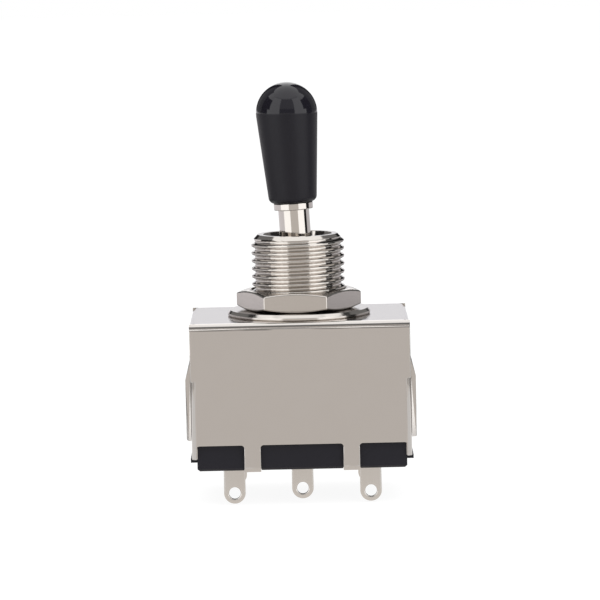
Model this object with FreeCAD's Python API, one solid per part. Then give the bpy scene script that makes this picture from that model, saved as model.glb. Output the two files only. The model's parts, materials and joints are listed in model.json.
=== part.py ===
import FreeCAD, Part
import math
import os

from FreeCAD import Placement, Rotation, Vector

# Three-way toggle switch for a guitar's pickups: a bat lever in a threaded bushing, a folded sheet
# case, and a moulded base with two rows of three solder lugs.
# Millimetres and degrees. The origin is on the bushing's axis, in the top face of the case.
# +Z points to the lever's tip, +X along the case's long side, and -Y out of its front wall.

os.makedirs("parts", exist_ok=True)

# Clearances
sliding_clearance = 0.10        # between pieces that slide on each other
running_clearance = 0.05        # between a thread and its nut, or a ball and its seat
moulding_clearance = 0.05       # between the base moulding and the sheet round it

# Case, folded from one sheet
case_width = 28.0
case_depth = 21.0
sheet = 0.6
bend_inner_radius = 0.1
wall_height = 15.6              # top face to the lower edge of the front and back walls
wing_top_depth = 7.4            # top face to the upper edge of the wings
wing_gap = 0.4                  # between the wing from the front wall and the one from the back wall
flap_lift = 0.6                 # lower edge of the walls to the lower edge of the end flaps
flap_step_depth = 5.0           # top face to where an end flap starts to step outwards
flap_step_height = 2.2
flap_gap = 0.05                 # between a flap and the wings that it lies over
flap_corner_slit = 0.3          # between a flap's side edge and the wall beside it
strip_lap = 2.1                 # how far a bent strip runs back into the sheet that it is part of
step_round = 0.5
tab_width = 2.1
tab_inset = 7.7                 # end of the case to the middle of a tab
tab_fold_length = 1.4           # how far a tab reaches under the base
tab_recess = 0.4                # how far a folded tab is let into the base
notch_round = 0.4

# Base moulding
base_drop = 3.3                 # lower edge of the walls to the underside of the base
base_floor = 6.0                # thickness of the floor that holds the lugs
tray_wall = 1.25                # walls beside the slider
tray_rim_wall = 0.6             # thinner walls above the guide plate's seat
ledge_overhang = 0.2            # how far the end ledges pass the case's ends
ledge_thickness = 0.5
ledge_lift = 1.05               # underside of the base to the underside of its end ledges
ledge_inset = 1.5               # corner of the case to the end of a ledge
base_edge_chamfer = 0.3

# Bushing
thread_radius = 6.0
thread_pitch = 1.0
nut_end_gap = 0.1               # thread drawn as engaged beyond the nut
bushing_height = 10.4
bushing_top_inset = 0.85        # how much narrower the bushing's top is than its thread
bushing_chamfer_height = 0.9
flange_rim = 1.0
flange_thickness = 1.0
seat_wall = 2.8                 # thread to the pivot ball
top_land = 0.7                  # flat ring on top, outside the countersink
countersink_depth = 1.15
mouth_flare = 0.55              # how much wider the mouth is than the throat

# Washer and nut
washer_rim = 3.2                # thread to the washer's rim
washer_thickness = 0.75
washer_edge_chamfer = 0.12
washer_hole_clearance = 0.15
nut_wall = 1.0                  # thread to the middle of a flat
nut_height = 2.55
nut_turn = -3.9                 # how far a flat is turned from facing the front
nut_face_inset = 0.25           # flat to the circle where the corner chamfers meet the nut's faces
nut_corner_drop = 0.4
nut_countersink = 0.25

# Lever
pivot_depth = 5.2               # top of the bushing to the centre of the pivot ball
lean = -2.9                     # where the lever rests in the play of its middle position
throw = 13.0                    # lean at the left and right positions
throat_overlap = 0.45           # how much narrower the throat is than the pivot ball
shaft_step = 1.2                # how much narrower the shaft is than the pivot ball
collar_radius = 2.525
collar_height = 0.62
collar_rise = 3.8               # top of the bushing to the top of the collar, along the lever
collar_chamfer = 0.12
stud_radius = 1.6
stud_length = 9.5
tail_radius = 1.2
knuckle_radius = 1.5            # faceted knuckle at the tail's end, which moves the slider

# Tip
tip_length = 15.8
tip_bottom_radius = 3.0
tip_bottom_chamfer = 0.6
tip_radius = 3.95
tip_band = 0.3                  # end of the taper to the start of the dome

# Retainer ring, slider and guide plate
retainer_overlap = 0.85         # how much narrower the ring's bore is than the pivot ball
retainer_rim = 0.65             # how much wider the ring is than the ball's bore
retainer_height = 1.75
slider_height = 5.75
slider_end_clearance = 0.2
slider_edge_chamfer = 0.4
knuckle_cover = 1.9             # top of the slider to the centre of the knuckle
pocket_lead_in = 0.8
pocket_floor_room = 0.6         # under the knuckle
skid_width = 1.4
skid_gap = 1.2                  # between a skid and the pads beside it
guide_thickness = 1.0
guide_slot_clearance = 0.4
guide_end_clearance = 0.1

# Contacts
lug_end_inset = 5.3             # end of the case to the middle of a side lug
lug_row_inset = 2.5             # front of the case to the middle of a lug's blade
lug_width = 2.75
lug_sheet = 0.5
lug_drop = 4.475                 # underside of the base to the end of the side lugs
centre_lug_shortening = 0.5
eye_radius = 0.74
pad_reach = 3.0                 # middle of a lug's blade to its pad's inner edge
pad_end_margin = 0.5            # pad beyond the contact points, at the end of their travel
clip_room = 1.55                # floor of the base to the underside of the slider
clip_sheet = 0.25
clip_width = 2.0
clip_row_inset = 1.8            # middle of a lug's blade to the middle of the clip
clip_end_inset = 1.95           # end of the slider to the clip's last contact point
clip_tab_run = 1.3              # last contact point to the turned-up end
clip_tab_rise = 1.1             # how far an end reaches into the slider
clip_round = 1.0
clip_slot_clearance = 0.1

# Detent
detent_ball_radius = 1.0
detent_ball_offset = 5.2        # middle of the slider to the ball's bore
detent_cover = 2.8              # top of the slider to the ball's centre
detent_protrusion = 0.4         # how far a pressed-in ball stands out of the slider
detent_travel = 0.3             # from pressed in to seated in a notch
centre_notch_play = 0.75        # the middle notch is this much longer each way
detent_bore_depth = 3.9
spring_wire = 0.25              # the wire is drawn square
spring_coil_radius = 0.72
spring_turns = 3

# Sizes that follow
bend_radius = bend_inner_radius + sheet
half_width = case_width / 2
half_depth = case_depth / 2
inner_half_width = half_width - sheet
inner_half_depth = half_depth - sheet
base_bottom = -wall_height - base_drop
base_top = base_bottom + base_floor
fold_bottom = base_bottom + tab_recess - sheet
ledge_top = base_bottom + ledge_lift + ledge_thickness
leg_bottom = ledge_top + moulding_clearance
base_half_width = inner_half_width - moulding_clearance
base_half_depth = inner_half_depth - moulding_clearance
tray_half_width = base_half_width - tray_wall
tray_half_depth = base_half_depth - tray_wall
slider_bottom = base_top + clip_room
slider_top = slider_bottom + slider_height
guide_seat = slider_top + sliding_clearance
pivot_z = bushing_height - pivot_depth
tail_length = pivot_z - slider_top + knuckle_cover
lean_shift = -tail_length * math.sin(math.radians(lean))
throw_shift = tail_length * math.sin(math.radians(throw))
slider_half_length = tray_half_width - throw_shift - slider_end_clearance
slider_half_depth = tray_half_depth - sliding_clearance
flange_radius = thread_radius + flange_rim
engaged_radius = thread_radius - thread_pitch * 3 * math.sqrt(3) / 16
bushing_top_radius = thread_radius - bushing_top_inset
countersink_radius = bushing_top_radius - top_land
pivot_ball_radius = thread_radius - seat_wall
shaft_radius = pivot_ball_radius - shaft_step
throat_radius = pivot_ball_radius - throat_overlap
seat_radius = pivot_ball_radius + running_clearance
retainer_seat_radius = seat_radius + retainer_rim
retainer_bore_radius = pivot_ball_radius - retainer_overlap
retainer_top = pivot_z - math.sqrt(seat_radius ** 2 - retainer_bore_radius ** 2)
nut_top = washer_thickness + nut_height
nut_across_flats = 2 * (thread_radius + nut_wall)
collar_top = pivot_depth + collar_rise
tab_offset = half_width - tab_inset
lug_pitch = half_width - lug_end_inset
lug_row_offset = half_depth - lug_row_inset
clip_row_offset = lug_row_offset - clip_row_inset
clip_point_pitch = slider_half_length - clip_end_inset
pad_top = base_top + lug_sheet
detent_z = slider_top - detent_cover
detent_y = slider_half_depth + detent_protrusion - detent_ball_radius


def on_xz(u, v):
    return Vector(u, 0, v)


def on_yz(u, v):
    return Vector(0, u, v)


def on_xy(u, v):
    return Vector(u, v, 0)


def rounded_edges(points, plane, closed=True):
    """Edges through (u, v) corners; a corner given as (u, v, radius) is rounded by a tangent arc."""
    corners = [Vector(p[0], p[1], 0) for p in points]
    radii = [p[2] if len(p) > 2 else 0 for p in points]
    count = len(points)
    edges, first, last = [], None, None

    def join(start, end):
        if start.distanceToPoint(end) > 1e-6:
            edges.append(Part.LineSegment(plane(start.x, start.y), plane(end.x, end.y)).toShape())

    for i in range(count):
        corner, radius = corners[i], radii[i]
        if radius and (closed or 0 < i < count - 1):
            back = (corners[i - 1] - corner).normalize()
            ahead = (corners[(i + 1) % count] - corner).normalize()
            half = back.getAngle(ahead) / 2
            reach = radius / math.tan(half)
            start, end = corner + back * reach, corner + ahead * reach
            inward = (back + ahead).normalize()
            middle = corner + inward * (radius / math.sin(half) - radius)
        else:
            start = end = corner
        if last is not None:
            join(last, start)
        else:
            first = start
        if start is not end:
            arc = Part.Arc(*(plane(p.x, p.y) for p in (start, middle, end)))
            edges.append(arc.toShape())
        last = end
    if closed:
        join(last, first)
    return edges


def prism(points, plane, low, high):
    """The closed outline, extruded along the plane's normal from low to high."""
    normal = {on_xz: Vector(0, 1, 0), on_yz: Vector(1, 0, 0), on_xy: Vector(0, 0, 1)}[plane]
    face = Part.Face(Part.Wire(rounded_edges(points, plane)))
    solid = face.extrude(normal * (high - low))
    solid.translate(normal * low)
    return solid


def turned(points):
    """The closed (radius, z) outline, turned about the Z axis."""
    face = Part.Face(Part.Wire(rounded_edges(points, on_xz)))
    return face.revolve(Vector(), Vector(0, 0, 1), 360)


def box(x, y, z):
    """A block between (low, high) pairs on the three axes."""
    low = Vector(x[0], y[0], z[0])
    return Part.makeBox(x[1] - x[0], y[1] - y[0], z[1] - z[0], low)


def rod(radius, start, end):
    way = end - start
    return Part.makeCylinder(radius, way.Length, start, way)


def ball(radius, centre):
    return Part.makeSphere(radius, centre)


def joined(shapes):
    return shapes[0].fuse(list(shapes[1:])).removeSplitter()


def both_ends(shape):
    """The shape and its mirror image at the other end of the case."""
    return [shape, shape.mirror(Vector(), Vector(1, 0, 0))]


def both_sides(shape):
    """The shape and its mirror image behind the case's middle plane."""
    return [shape, shape.mirror(Vector(), Vector(0, 1, 0))]


def on_lever(shape):
    """Moves a shape from the lever's own axis, with the pivot at zero, to where the lever leans."""
    placed = shape.copy()
    placed.Placement = Placement(Vector(0, 0, pivot_z), Rotation(Vector(0, 1, 0), lean))
    return placed


# Case

def end_flap():
    """Strip bent down from the top, which steps outwards to lie over the wings."""
    outside = half_width + flap_gap + sheet
    slope = math.atan2(outside - half_width, flap_step_height)
    shift = sheet * math.tan(slope / 2)
    step_bottom = flap_step_depth + flap_step_height
    root = inner_half_width - strip_lap
    flap_bottom = -wall_height + flap_lift
    outline = [
        (root, 0),
        (half_width, 0, bend_radius),
        (half_width, -flap_step_depth, step_round),
        (outside, -step_bottom, step_round),
        (outside, flap_bottom),
        (outside - sheet, flap_bottom),
        (outside - sheet, -step_bottom - shift, step_round),
        (inner_half_width, -flap_step_depth - shift, step_round),
        (inner_half_width, -sheet, bend_inner_radius),
        (root, -sheet),
    ]
    flap_half = inner_half_depth - flap_corner_slit
    return prism(outline, on_xz, -flap_half, flap_half)


def wing():
    """Strip wrapped round the end from the front wall, as far as the middle."""
    root = inner_half_width - strip_lap
    outline = [
        (root, -half_depth),
        (half_width, -half_depth, bend_radius),
        (half_width, -wing_gap / 2),
        (inner_half_width, -wing_gap / 2),
        (inner_half_width, -inner_half_depth, bend_inner_radius),
        (root, -inner_half_depth),
    ]
    return prism(outline, on_xy, leg_bottom, -wing_top_depth)


def folded_tab():
    """Tab on the front wall, folded under the base."""
    fold_top = fold_bottom + sheet
    outline = [
        (-half_depth, -wall_height),
        (-half_depth, fold_bottom, bend_radius),
        (-inner_half_depth + tab_fold_length, fold_bottom),
        (-inner_half_depth + tab_fold_length, fold_top),
        (-inner_half_depth, fold_top, bend_inner_radius),
        (-inner_half_depth, -wall_height),
    ]
    return prism(outline, on_yz, tab_offset - tab_width / 2, tab_offset + tab_width / 2)


def wall_notch(start, end):
    """What is cut out of the front wall's lower edge, with rounded upper corners."""
    outline = [
        (start, base_bottom),
        (start, -wall_height, notch_round),
        (end, -wall_height, notch_round),
        (end, base_bottom),
    ]
    return prism(outline, on_xz, -half_depth - sheet, -inner_half_depth)


def make_case():
    tab_bend = fold_bottom + bend_radius
    channel = prism(
        [
            (-half_depth, tab_bend),
            (-half_depth, 0, bend_radius),
            (half_depth, 0, bend_radius),
            (half_depth, tab_bend),
            (inner_half_depth, tab_bend),
            (inner_half_depth, -sheet, bend_inner_radius),
            (-inner_half_depth, -sheet, bend_inner_radius),
            (-inner_half_depth, tab_bend),
        ],
        on_yz,
        -half_width,
        half_width,
    )
    bend_start = half_width - bend_radius
    top_end = box(
        (bend_start, half_width), (-inner_half_depth, inner_half_depth), (-sheet - bend_radius, 0)
    )
    corner = box(
        (bend_start, half_width),
        (-half_depth, bend_radius - half_depth),
        (base_bottom, -wing_top_depth),
    )
    ends = both_ends(top_end)
    for part in both_sides(corner):
        ends += both_ends(part)
    wings = [w for side in both_sides(wing()) for w in both_ends(side)]
    body = joined([channel.cut(ends)] + both_ends(end_flap()) + wings)

    tab_inner, tab_outer = tab_offset - tab_width / 2, tab_offset + tab_width / 2
    side_notch = wall_notch(tab_outer, inner_half_width)
    notches = [wall_notch(-tab_inner, tab_inner)] + both_ends(side_notch)
    below_legs = box((inner_half_width, half_width), (-half_depth, 0), (base_bottom, leg_bottom))
    notches += both_ends(below_legs)
    notches = [n for notch in notches for n in both_sides(notch)]
    tabs = [t for side in both_sides(folded_tab()) for t in both_ends(side)]
    body = joined([body.cut(notches)] + tabs)
    bushing_hole = rod(thread_radius + running_clearance, Vector(0, 0, -2 * sheet), Vector(0, 0, sheet))
    return body.cut(bushing_hole)


# Base

def detent_track(side):
    """Recess that the detent ball runs in, with three upright notches, all open towards the top."""
    radius = detent_ball_radius + sliding_clearance
    centre = -side * detent_ball_offset
    bottom = detent_z - radius
    recess_y = side * (detent_y + radius)
    notch_y = side * (detent_y + detent_travel)

    def recess(x, wall_y):
        return box(x, sorted((side * detent_y, wall_y)), (bottom, guide_seat))

    track = [recess((centre - throw_shift - radius, centre + throw_shift + radius), recess_y)]
    play = (centre - centre_notch_play, centre + centre_notch_play)
    track.append(recess(play, notch_y + side * radius))
    for stop in (centre - throw_shift, centre + throw_shift) + play:
        track.append(rod(radius, Vector(stop, notch_y, bottom), Vector(stop, notch_y, guide_seat)))
    return track


def tab_rebate():
    """What is cut out of the base's lower front edge for one folded tab."""
    ceiling = base_bottom + tab_recess
    end = tab_fold_length + moulding_clearance - inner_half_depth
    outline = [
        (-half_depth, base_bottom - sheet),
        (end, base_bottom - sheet),
        (end, ceiling),
        (base_edge_chamfer - base_half_depth, ceiling),
        (-base_half_depth, ceiling + base_edge_chamfer),
        (-half_depth, ceiling + base_edge_chamfer),
    ]
    reach = tab_width / 2 + moulding_clearance
    return prism(outline, on_yz, tab_offset - reach, tab_offset + reach)


def make_base():
    block = box(
        (-base_half_width, base_half_width),
        (-base_half_depth, base_half_depth),
        (base_bottom, -sheet - moulding_clearance),
    )
    bottom_edges = [
        e for e in block.Edges if all(abs(v.Z - base_bottom) < 1e-6 for v in e.Vertexes)
    ]
    block = block.makeChamfer(base_edge_chamfer, bottom_edges)
    ledge_x = half_width + ledge_overhang
    ledge_y = half_depth - ledge_inset
    ledge = box((-ledge_x, ledge_x), (-ledge_y, ledge_y), (ledge_top - ledge_thickness, ledge_top))

    rim_x, rim_y = base_half_width - tray_rim_wall, base_half_depth - tray_rim_wall
    cuts = [
        box((-rim_x, rim_x), (-rim_y, rim_y), (guide_seat, 0)),
        box(
            (-tray_half_width, tray_half_width),
            (-tray_half_depth, tray_half_depth),
            (base_top, guide_seat + sheet),
        ),
    ]
    cuts += [t for side in both_sides(tab_rebate()) for t in both_ends(side)]
    slot_x = lug_width / 2 + moulding_clearance
    slot_y = lug_sheet / 2 + moulding_clearance
    for side in (-1, 1):
        cuts += detent_track(side)
        middle = side * lug_row_offset
        for column in (-1, 0, 1):
            x = column * lug_pitch
            cuts.append(
                box(
                    (x - slot_x, x + slot_x),
                    (middle - slot_y, middle + slot_y),
                    (base_bottom - sheet, base_top + sheet),
                )
            )
    return joined([block, ledge]).cut(cuts)


def make_guide_plate():
    half_x = base_half_width - tray_rim_wall - guide_end_clearance
    half_y = base_half_depth - tray_rim_wall - guide_end_clearance
    top = guide_seat + guide_thickness
    swing = (pivot_z - guide_seat) * math.tan(math.radians(throw))
    slot_x = swing + tail_radius + guide_slot_clearance
    slot_y = tail_radius + guide_slot_clearance
    plate = box((-half_x, half_x), (-half_y, half_y), (guide_seat, top))
    slot = prism(
        [
            (-slot_x, -slot_y, slot_y / 2),
            (slot_x, -slot_y, slot_y / 2),
            (slot_x, slot_y, slot_y / 2),
            (-slot_x, slot_y, slot_y / 2),
        ],
        on_xy,
        guide_seat - sheet,
        top + sheet,
    )
    return plate.cut(slot)


# Bushing, washer and nut

def make_bushing():
    """The thread is drawn plain: at its crests where it is free, at its pitch line inside the nut."""
    top = bushing_height
    throat_z = pivot_z + math.sqrt(seat_radius ** 2 - throat_radius ** 2)
    flange_bottom = -sheet - flange_thickness
    body = turned(
        [
            (throat_radius, flange_bottom),
            (flange_radius, flange_bottom),
            (flange_radius, -sheet),
            (thread_radius, -sheet),
            (thread_radius, washer_thickness),
            (engaged_radius, washer_thickness),
            (engaged_radius, nut_top + nut_end_gap),
            (thread_radius, nut_top + nut_end_gap),
            (thread_radius, top - bushing_chamfer_height),
            (bushing_top_radius, top),
            (countersink_radius, top),
            (throat_radius + mouth_flare, top - countersink_depth),
            (throat_radius, throat_z),
        ]
    )
    return body.cut(
        [
            ball(seat_radius, Vector(0, 0, pivot_z)),
            rod(seat_radius, Vector(0, 0, flange_bottom), Vector(0, 0, pivot_z)),
            rod(retainer_seat_radius, Vector(0, 0, flange_bottom), Vector(0, 0, retainer_top)),
        ]
    )


def make_ball_retainer():
    """Ring whose bore just clears the pivot ball at its upper face."""
    top = retainer_top
    bottom = top - retainer_height
    outer = retainer_seat_radius - running_clearance / 2
    return turned(
        [
            (retainer_bore_radius, bottom),
            (outer, bottom),
            (outer, top),
            (retainer_bore_radius, top),
        ]
    )


def make_flat_washer():
    hole = thread_radius + washer_hole_clearance
    rim = thread_radius + washer_rim
    edge = washer_edge_chamfer
    top = washer_thickness
    return turned(
        [
            (hole, 0),
            (rim - edge, 0),
            (rim, edge),
            (rim, top - edge),
            (rim - edge, top),
            (hole, top),
        ]
    )


def make_panel_nut():
    corner_radius = nut_across_flats / math.sqrt(3)
    face_radius = nut_across_flats / 2 - nut_face_inset
    bottom, top = washer_thickness, nut_top
    hexagon = [
        (
            corner_radius * math.cos(math.radians(60 * i)),
            corner_radius * math.sin(math.radians(60 * i)),
        )
        for i in range(6)
    ]
    blank = prism(hexagon, on_xy, bottom, top)
    chamfers = turned(
        [
            (0, bottom),
            (face_radius, bottom),
            (corner_radius, bottom + nut_corner_drop),
            (corner_radius, top - nut_corner_drop),
            (face_radius, top),
            (0, top),
        ]
    )
    hole = engaged_radius + running_clearance
    bore = turned(
        [
            (0, bottom),
            (hole + nut_countersink, bottom),
            (hole, bottom + nut_countersink),
            (hole, top - nut_countersink),
            (hole + nut_countersink, top),
            (0, top),
        ]
    )
    nut = blank.common(chamfers).cut(bore)
    nut.rotate(Vector(), Vector(0, 0, 1), nut_turn)
    return nut


# Lever and tip, on their own axis with the pivot at zero

def make_lever():
    top = collar_top
    bottom = top - collar_height
    stem = turned(
        [
            (0, 0),
            (shaft_radius, 0),
            (shaft_radius, bottom),
            (collar_radius - collar_chamfer, bottom),
            (collar_radius, bottom + collar_chamfer),
            (collar_radius, top - collar_chamfer),
            (collar_radius - collar_chamfer, top),
            (stud_radius, top),
            (stud_radius, top + stud_length),
            (0, top + stud_length),
        ]
    )
    eighth = math.radians(22.5)
    rim, flat = knuckle_radius * math.cos(eighth), knuckle_radius * math.sin(eighth)
    knuckle = turned([(0, -rim), (flat, -rim), (rim, -flat), (rim, flat), (flat, rim), (0, rim)])
    knuckle.translate(Vector(0, 0, -tail_length))
    tail = rod(tail_radius, Vector(0, 0, -tail_length), Vector())
    return on_lever(joined([stem, tail, ball(pivot_ball_radius, Vector()), knuckle]))


def make_lever_tip():
    bottom = collar_top
    top = bottom + tip_length
    taper_end = top - tip_radius - tip_band
    hole = stud_radius + running_clearance
    hole_top = bottom + stud_length + running_clearance
    tip = turned(
        [
            (hole, bottom),
            (tip_bottom_radius - tip_bottom_chamfer, bottom),
            (tip_bottom_radius, bottom + tip_bottom_chamfer),
            (tip_radius, taper_end),
            (tip_radius, top, tip_radius),
            (0, top),
            (0, hole_top),
            (hole, hole_top),
        ]
    )
    return on_lever(tip)


# Slider with its contact clips and detents, drawn at the middle position and then moved

def at_rest(shape):
    shape.translate(Vector(lean_shift, 0, 0))
    return shape


def clip_path():
    """Corrugated line of a contact clip, with three contact points and two turned-up ends."""
    crest = slider_bottom - clip_sheet / 2 - running_clearance / 2
    point = pad_top + running_clearance + clip_sheet / 2
    end = clip_point_pitch + clip_tab_run
    quarter = clip_point_pitch / 2
    return [
        (-end, slider_bottom + clip_tab_rise),
        (-end, crest, clip_round / 2),
        (-clip_point_pitch, point, clip_round / 2),
        (-quarter, crest, clip_round),
        (0, point, clip_round),
        (quarter, crest, clip_round),
        (clip_point_pitch, point, clip_round / 2),
        (end, crest, clip_round / 2),
        (end, slider_bottom + clip_tab_rise),
    ]


def make_contact_clip(side):
    path = Part.Wire(rounded_edges(clip_path(), on_xz, closed=False))
    start = clip_path()[0]
    half = clip_sheet / 2
    corners = [
        Vector(start[0] + dx * half, dy * clip_width / 2, start[1])
        for dx, dy in ((-1, -1), (1, -1), (1, 1), (-1, 1))
    ]
    section = Part.makePolygon(corners + corners[:1])
    clip = path.makePipeShell([section], True, False)
    clip.translate(Vector(0, side * clip_row_offset, 0))
    return at_rest(clip)


def make_slider():
    edge = slider_edge_chamfer
    body = prism(
        [
            (-slider_half_length, slider_bottom),
            (slider_half_length, slider_bottom),
            (slider_half_length, slider_top - edge),
            (slider_half_length - edge, slider_top),
            (edge - slider_half_length, slider_top),
            (-slider_half_length, slider_top - edge),
        ],
        on_xz,
        -slider_half_depth,
        slider_half_depth,
    )
    skid_outer = lug_row_offset - pad_reach - skid_gap
    skid = box(
        (-slider_half_length, slider_half_length),
        (skid_outer - skid_width, skid_outer),
        (base_top + running_clearance, slider_bottom),
    )
    body = joined([body] + both_sides(skid))

    pocket = knuckle_radius + sliding_clearance
    pocket_floor = pivot_z - tail_length - knuckle_radius - pocket_floor_room
    tail_room = prism(
        [
            (-pocket, pocket_floor, pocket / 2),
            (pocket, pocket_floor, pocket / 2),
            (pocket, slider_top - pocket_lead_in),
            (pocket + pocket_lead_in, slider_top),
            (-pocket - pocket_lead_in, slider_top),
            (-pocket, slider_top - pocket_lead_in),
        ],
        on_xz,
        -pocket,
        pocket,
    )
    cuts = [tail_room]
    tab_x = clip_point_pitch + clip_tab_run
    slot_x = clip_sheet / 2 + clip_slot_clearance
    slot_y = clip_width / 2 + clip_slot_clearance
    for side in (-1, 1):
        bore_x = -side * detent_ball_offset
        cuts.append(
            rod(
                detent_ball_radius + running_clearance,
                Vector(bore_x, side * (slider_half_depth - detent_bore_depth), detent_z),
                Vector(bore_x, side * (slider_half_depth + sheet), detent_z),
            )
        )
        row = side * clip_row_offset
        for end in (-tab_x, tab_x):
            cuts.append(
                box(
                    (end - slot_x, end + slot_x),
                    (row - slot_y, row + slot_y),
                    (slider_bottom - sheet, slider_bottom + clip_tab_rise + clip_slot_clearance),
                )
            )
    return at_rest(body.cut(cuts))


def make_detent_ball(side):
    return at_rest(ball(detent_ball_radius, Vector(-side * detent_ball_offset, side * detent_y, detent_z)))


def make_detent_spring(side):
    """Coil from the bottom of the bore to the back of the pressed-in ball."""
    bore_end = slider_half_depth - detent_bore_depth
    half = spring_wire / 2
    reach = math.sqrt(detent_ball_radius ** 2 - (spring_coil_radius - half) ** 2)
    length = detent_y - reach - bore_end - 2 * spring_wire
    coil = Part.makeHelix(length / spring_turns, length, spring_coil_radius)
    corners = [
        Vector(spring_coil_radius + dx * half, 0, dz * half)
        for dx, dz in ((-1, -1), (1, -1), (1, 1), (-1, 1))
    ]
    section = Part.makePolygon(corners + corners[:1])
    spring = Part.Wire(coil).makePipeShell([section], True, True)
    spring.rotate(Vector(), Vector(1, 0, 0), -90 * side)
    spring.translate(Vector(-side * detent_ball_offset, side * (bore_end + half), detent_z))
    return at_rest(spring)


# Solder lugs

def make_terminal(column, side):
    """Stamped lug: a pad on the base's floor, bent down into a blade with an eye."""
    x = column * lug_pitch
    end = base_bottom - lug_drop + (0 if column else centre_lug_shortening)
    half = lug_width / 2
    middle = side * lug_row_offset
    faces = sorted((middle - lug_sheet / 2, middle + lug_sheet / 2))
    blade = prism(
        [
            (x - half, pad_top),
            (x - half, end, half),
            (x + half, end, half),
            (x + half, pad_top),
        ],
        on_xz,
        faces[0],
        faces[1],
    )
    if column:
        near = clip_point_pitch - throw_shift / 2
        far = clip_point_pitch + throw_shift + pad_end_margin
        pad_x = sorted((column * near, column * far))
    else:
        pad_x = (-throw_shift - pad_end_margin, throw_shift + pad_end_margin)
    inner = side * (lug_row_offset - pad_reach)
    outer = side * (lug_row_offset + lug_sheet / 2)
    pad = box(pad_x, sorted((inner, outer)), (base_top, pad_top))
    eye_z = end + half
    eye = rod(eye_radius, Vector(x, faces[0] - lug_sheet, eye_z), Vector(x, faces[1] + lug_sheet, eye_z))
    return joined([blade, pad]).cut(eye)


pieces = {
    "case": make_case(),
    "base": make_base(),
    "guide_plate": make_guide_plate(),
    "bushing": make_bushing(),
    "ball_retainer": make_ball_retainer(),
    "flat_washer": make_flat_washer(),
    "panel_nut": make_panel_nut(),
    "lever": make_lever(),
    "lever_tip": make_lever_tip(),
    "slider": make_slider(),
}
for side_name, side in (("front", -1), ("rear", 1)):
    pieces[f"contact_clip_{side_name}"] = make_contact_clip(side)
    pieces[f"detent_ball_{side_name}"] = make_detent_ball(side)
    pieces[f"detent_spring_{side_name}"] = make_detent_spring(side)
    for column_name, column in (("left", -1), ("centre", 0), ("right", 1)):
        pieces[f"terminal_{side_name}_{column_name}"] = make_terminal(column, side)

for node, shape in pieces.items():
    shape.exportStep(f"parts/{node}.step")
    print(f"{node}: {len(shape.Solids)} solid, valid {shape.isValid()}, {shape.Volume:.2f} mm3")
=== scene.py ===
"""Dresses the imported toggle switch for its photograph.

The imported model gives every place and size. The bushing, lever, tip, washer, nut and lugs are drawn
again here as smooth surfaces, and the folded case and the moulded base get softened edges.
"""

import json
import logging
import math
from dataclasses import dataclass, replace
from enum import Enum
from typing import Any, Callable, Iterable, Sequence

import bmesh
import bpy
import numpy as np
from mathutils import Matrix, Vector


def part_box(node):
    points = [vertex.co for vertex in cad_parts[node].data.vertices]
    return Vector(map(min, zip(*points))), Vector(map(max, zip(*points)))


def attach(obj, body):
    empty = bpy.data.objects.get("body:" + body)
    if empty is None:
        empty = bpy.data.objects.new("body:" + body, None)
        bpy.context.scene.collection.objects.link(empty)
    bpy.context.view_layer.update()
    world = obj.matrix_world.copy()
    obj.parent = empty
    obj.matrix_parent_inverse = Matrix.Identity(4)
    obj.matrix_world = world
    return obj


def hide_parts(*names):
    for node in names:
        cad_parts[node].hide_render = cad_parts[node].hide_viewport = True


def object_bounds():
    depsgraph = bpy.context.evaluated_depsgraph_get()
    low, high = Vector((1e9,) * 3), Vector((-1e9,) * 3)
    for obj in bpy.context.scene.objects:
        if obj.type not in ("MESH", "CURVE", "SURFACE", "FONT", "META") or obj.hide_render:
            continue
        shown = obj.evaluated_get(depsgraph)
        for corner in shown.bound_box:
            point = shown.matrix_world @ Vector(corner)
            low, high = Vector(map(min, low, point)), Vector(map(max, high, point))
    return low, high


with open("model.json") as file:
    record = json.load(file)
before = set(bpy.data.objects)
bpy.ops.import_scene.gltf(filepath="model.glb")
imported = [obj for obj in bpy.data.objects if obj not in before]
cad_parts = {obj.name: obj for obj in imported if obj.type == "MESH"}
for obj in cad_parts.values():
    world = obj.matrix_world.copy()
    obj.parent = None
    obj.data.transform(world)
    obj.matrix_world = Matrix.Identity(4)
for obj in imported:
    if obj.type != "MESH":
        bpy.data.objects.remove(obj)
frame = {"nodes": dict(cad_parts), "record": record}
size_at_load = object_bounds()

log = logging.getLogger("switch")

# Metres in a millimetre. All the other lengths here are in millimetres, unless they say metres.
MM = 0.001
# Support points stand this far from a rounded edge.
FLAT_EDGE = 0.012
# Points nearer than this to a face of a box count as on it.
TOUCH = 0.002
Array = np.ndarray
Corner = tuple[float, ...]
Pair = tuple[float, float]
Triple = tuple[float, float, float]


# Surfaces as grids of points


@dataclass(frozen=True)
class Surface:
    """A grid of points, shaped rows by columns by 3, that may close on itself either way."""

    points: Array
    wrap_rows: bool = False
    wrap_columns: bool = True

    def quads(self) -> Array:
        """Four point numbers for every cell of the grid.

        Returns:
            An array of cells by 4. A wrapped direction repeats its first line at its end.
        """
        rows, columns = self.points.shape[:2]
        index = np.arange(rows * columns).reshape(rows, columns)
        if self.wrap_rows:
            index = np.vstack([index, index[:1]])
        if self.wrap_columns:
            index = np.hstack([index, index[:, :1]])
        cells = [index[:-1, :-1], index[:-1, 1:], index[1:, 1:], index[1:, :-1]]
        return np.stack(cells, axis=-1).reshape(-1, 4)

    def placed(self, turn: Array, shift: Array) -> "Surface":
        """The surface after every point p becomes turn times p, plus shift."""
        return Surface(self.points @ turn.T + shift, self.wrap_rows, self.wrap_columns)


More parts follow.
